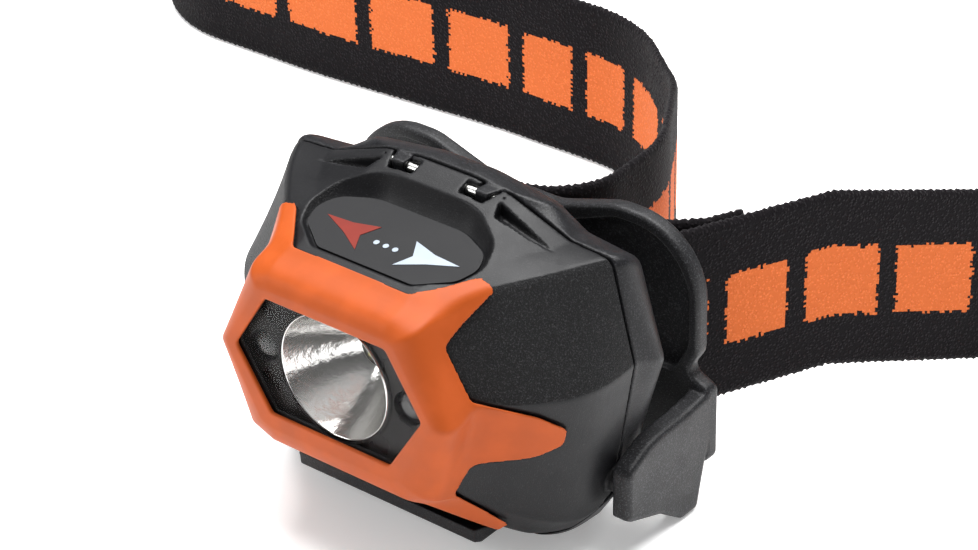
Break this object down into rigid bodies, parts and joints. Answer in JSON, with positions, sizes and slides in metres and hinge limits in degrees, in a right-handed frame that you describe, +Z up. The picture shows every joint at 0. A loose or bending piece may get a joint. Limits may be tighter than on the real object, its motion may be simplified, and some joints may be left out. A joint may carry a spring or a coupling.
{
  "type": "headlamp",
  "caption": "Compact head torch: tilting lamp head with hexagonal window in an orange bezel, hinged battery cover, bracket and elastic headband.",
  "frame": {"origin": "centre of the hexagonal window, in the plane of its front rim", "axes": "the beam leaves along -Y, +X is to the right of a viewer facing the lamp, +Z is up"},
  "size_m": [0.2205, 0.219, 0.052],
  "materials": {
    "shell_plastic": "fine satin grain, sparkly texture on the flanks",
    "bezel_orange": "smooth satin overmould",
    "clear_lens": "polished clear polycarbonate",
    "seal_rubber": "soft black",
    "mask_black": "gloss black",
    "reflector_chrome": "vacuum-metallised orange peel",
    "led_white": "phosphor under clear silicone",
    "board_aluminium": "white solder mask",
    "wire_red": "insulation",
    "aluminium": "machined",
    "clear_resin": "clear epoxy",
    "film_black": "satin printed film",
    "print_white": "silk-screen ink",
    "print_red": "silk-screen ink",
    "board_green": "solder mask",
    "chip_black": "epoxy",
    "tray_plastic": "moulded, satin",
    "steel": "zinc plated",
    "cell_jacket": null,
    "spring_steel": "nickel plated",
    "cover_plastic": "moulded, satin",
    "foam": "closed-cell foam",
    "bracket_plastic": "moulded, satin",
    "webbing": "woven elastic, black with woven orange blocks",
    "slider_plastic": "acetal"
  },
  "bodies": {
    "root": {"bracket": "bracket_plastic", "pivot_pin_right": "steel", "pivot_pin_left": "steel", "friction_washer_right": "seal_rubber", "friction_washer_left": "seal_rubber", "headband_strap": "webbing"},
    "lamp_head": {"front_shell": "shell_plastic", "bezel": "bezel_orange", "window_lens": "clear_lens", "lens_gasket": "seal_rubber", "light_mask": "mask_black", "reflector": "reflector_chrome", "white_led": "led_white", "led_board": "board_aluminium", "led_wires": "wire_red", "heat_sink": "aluminium", "side_led_right": "clear_resin", "side_led_left": "clear_resin", "touch_pad": "film_black", "pad_arrow_white": "print_white", "pad_arrow_red": "print_red", "pad_dots": "print_white", "touch_board": "board_green", "main_board": "board_green", "board_parts": "chip_black", "battery_tray": "tray_plastic", "tray_screws": "steel", "cover_seal": "seal_rubber", "battery_cell_bottom": "cell_jacket", "battery_cell_middle": "cell_jacket", "battery_cell_top": "cell_jacket", "contact_springs": "spring_steel", "contact_plates": "spring_steel", "cover_hinge_rods": "steel"},
    "battery_cover": {"battery_cover": "cover_plastic", "cell_pad": "foam"},
    "strap_slider": {"strap_slider": "slider_plastic"}
  },
  "joints": [
    {"name": "head_tilt", "type": "hinge", "parent": "root", "child": "lamp_head", "pos_m": [0, 0.0273, -0.0184], "axis": [1, 0, 0], "range_deg": [0, 50]},
    {"name": "cover_hinge", "type": "hinge", "parent": "lamp_head", "child": "battery_cover", "pos_m": [0, 0.0263, 0.0201], "axis": [1, 0, 0], "range_deg": [0, 8]},
    {"name": "slider_travel", "type": "slide", "parent": "root", "child": "strap_slider", "axis": [1, 0, 0], "range_m": [-0.03, 0.03]}
  ]
}
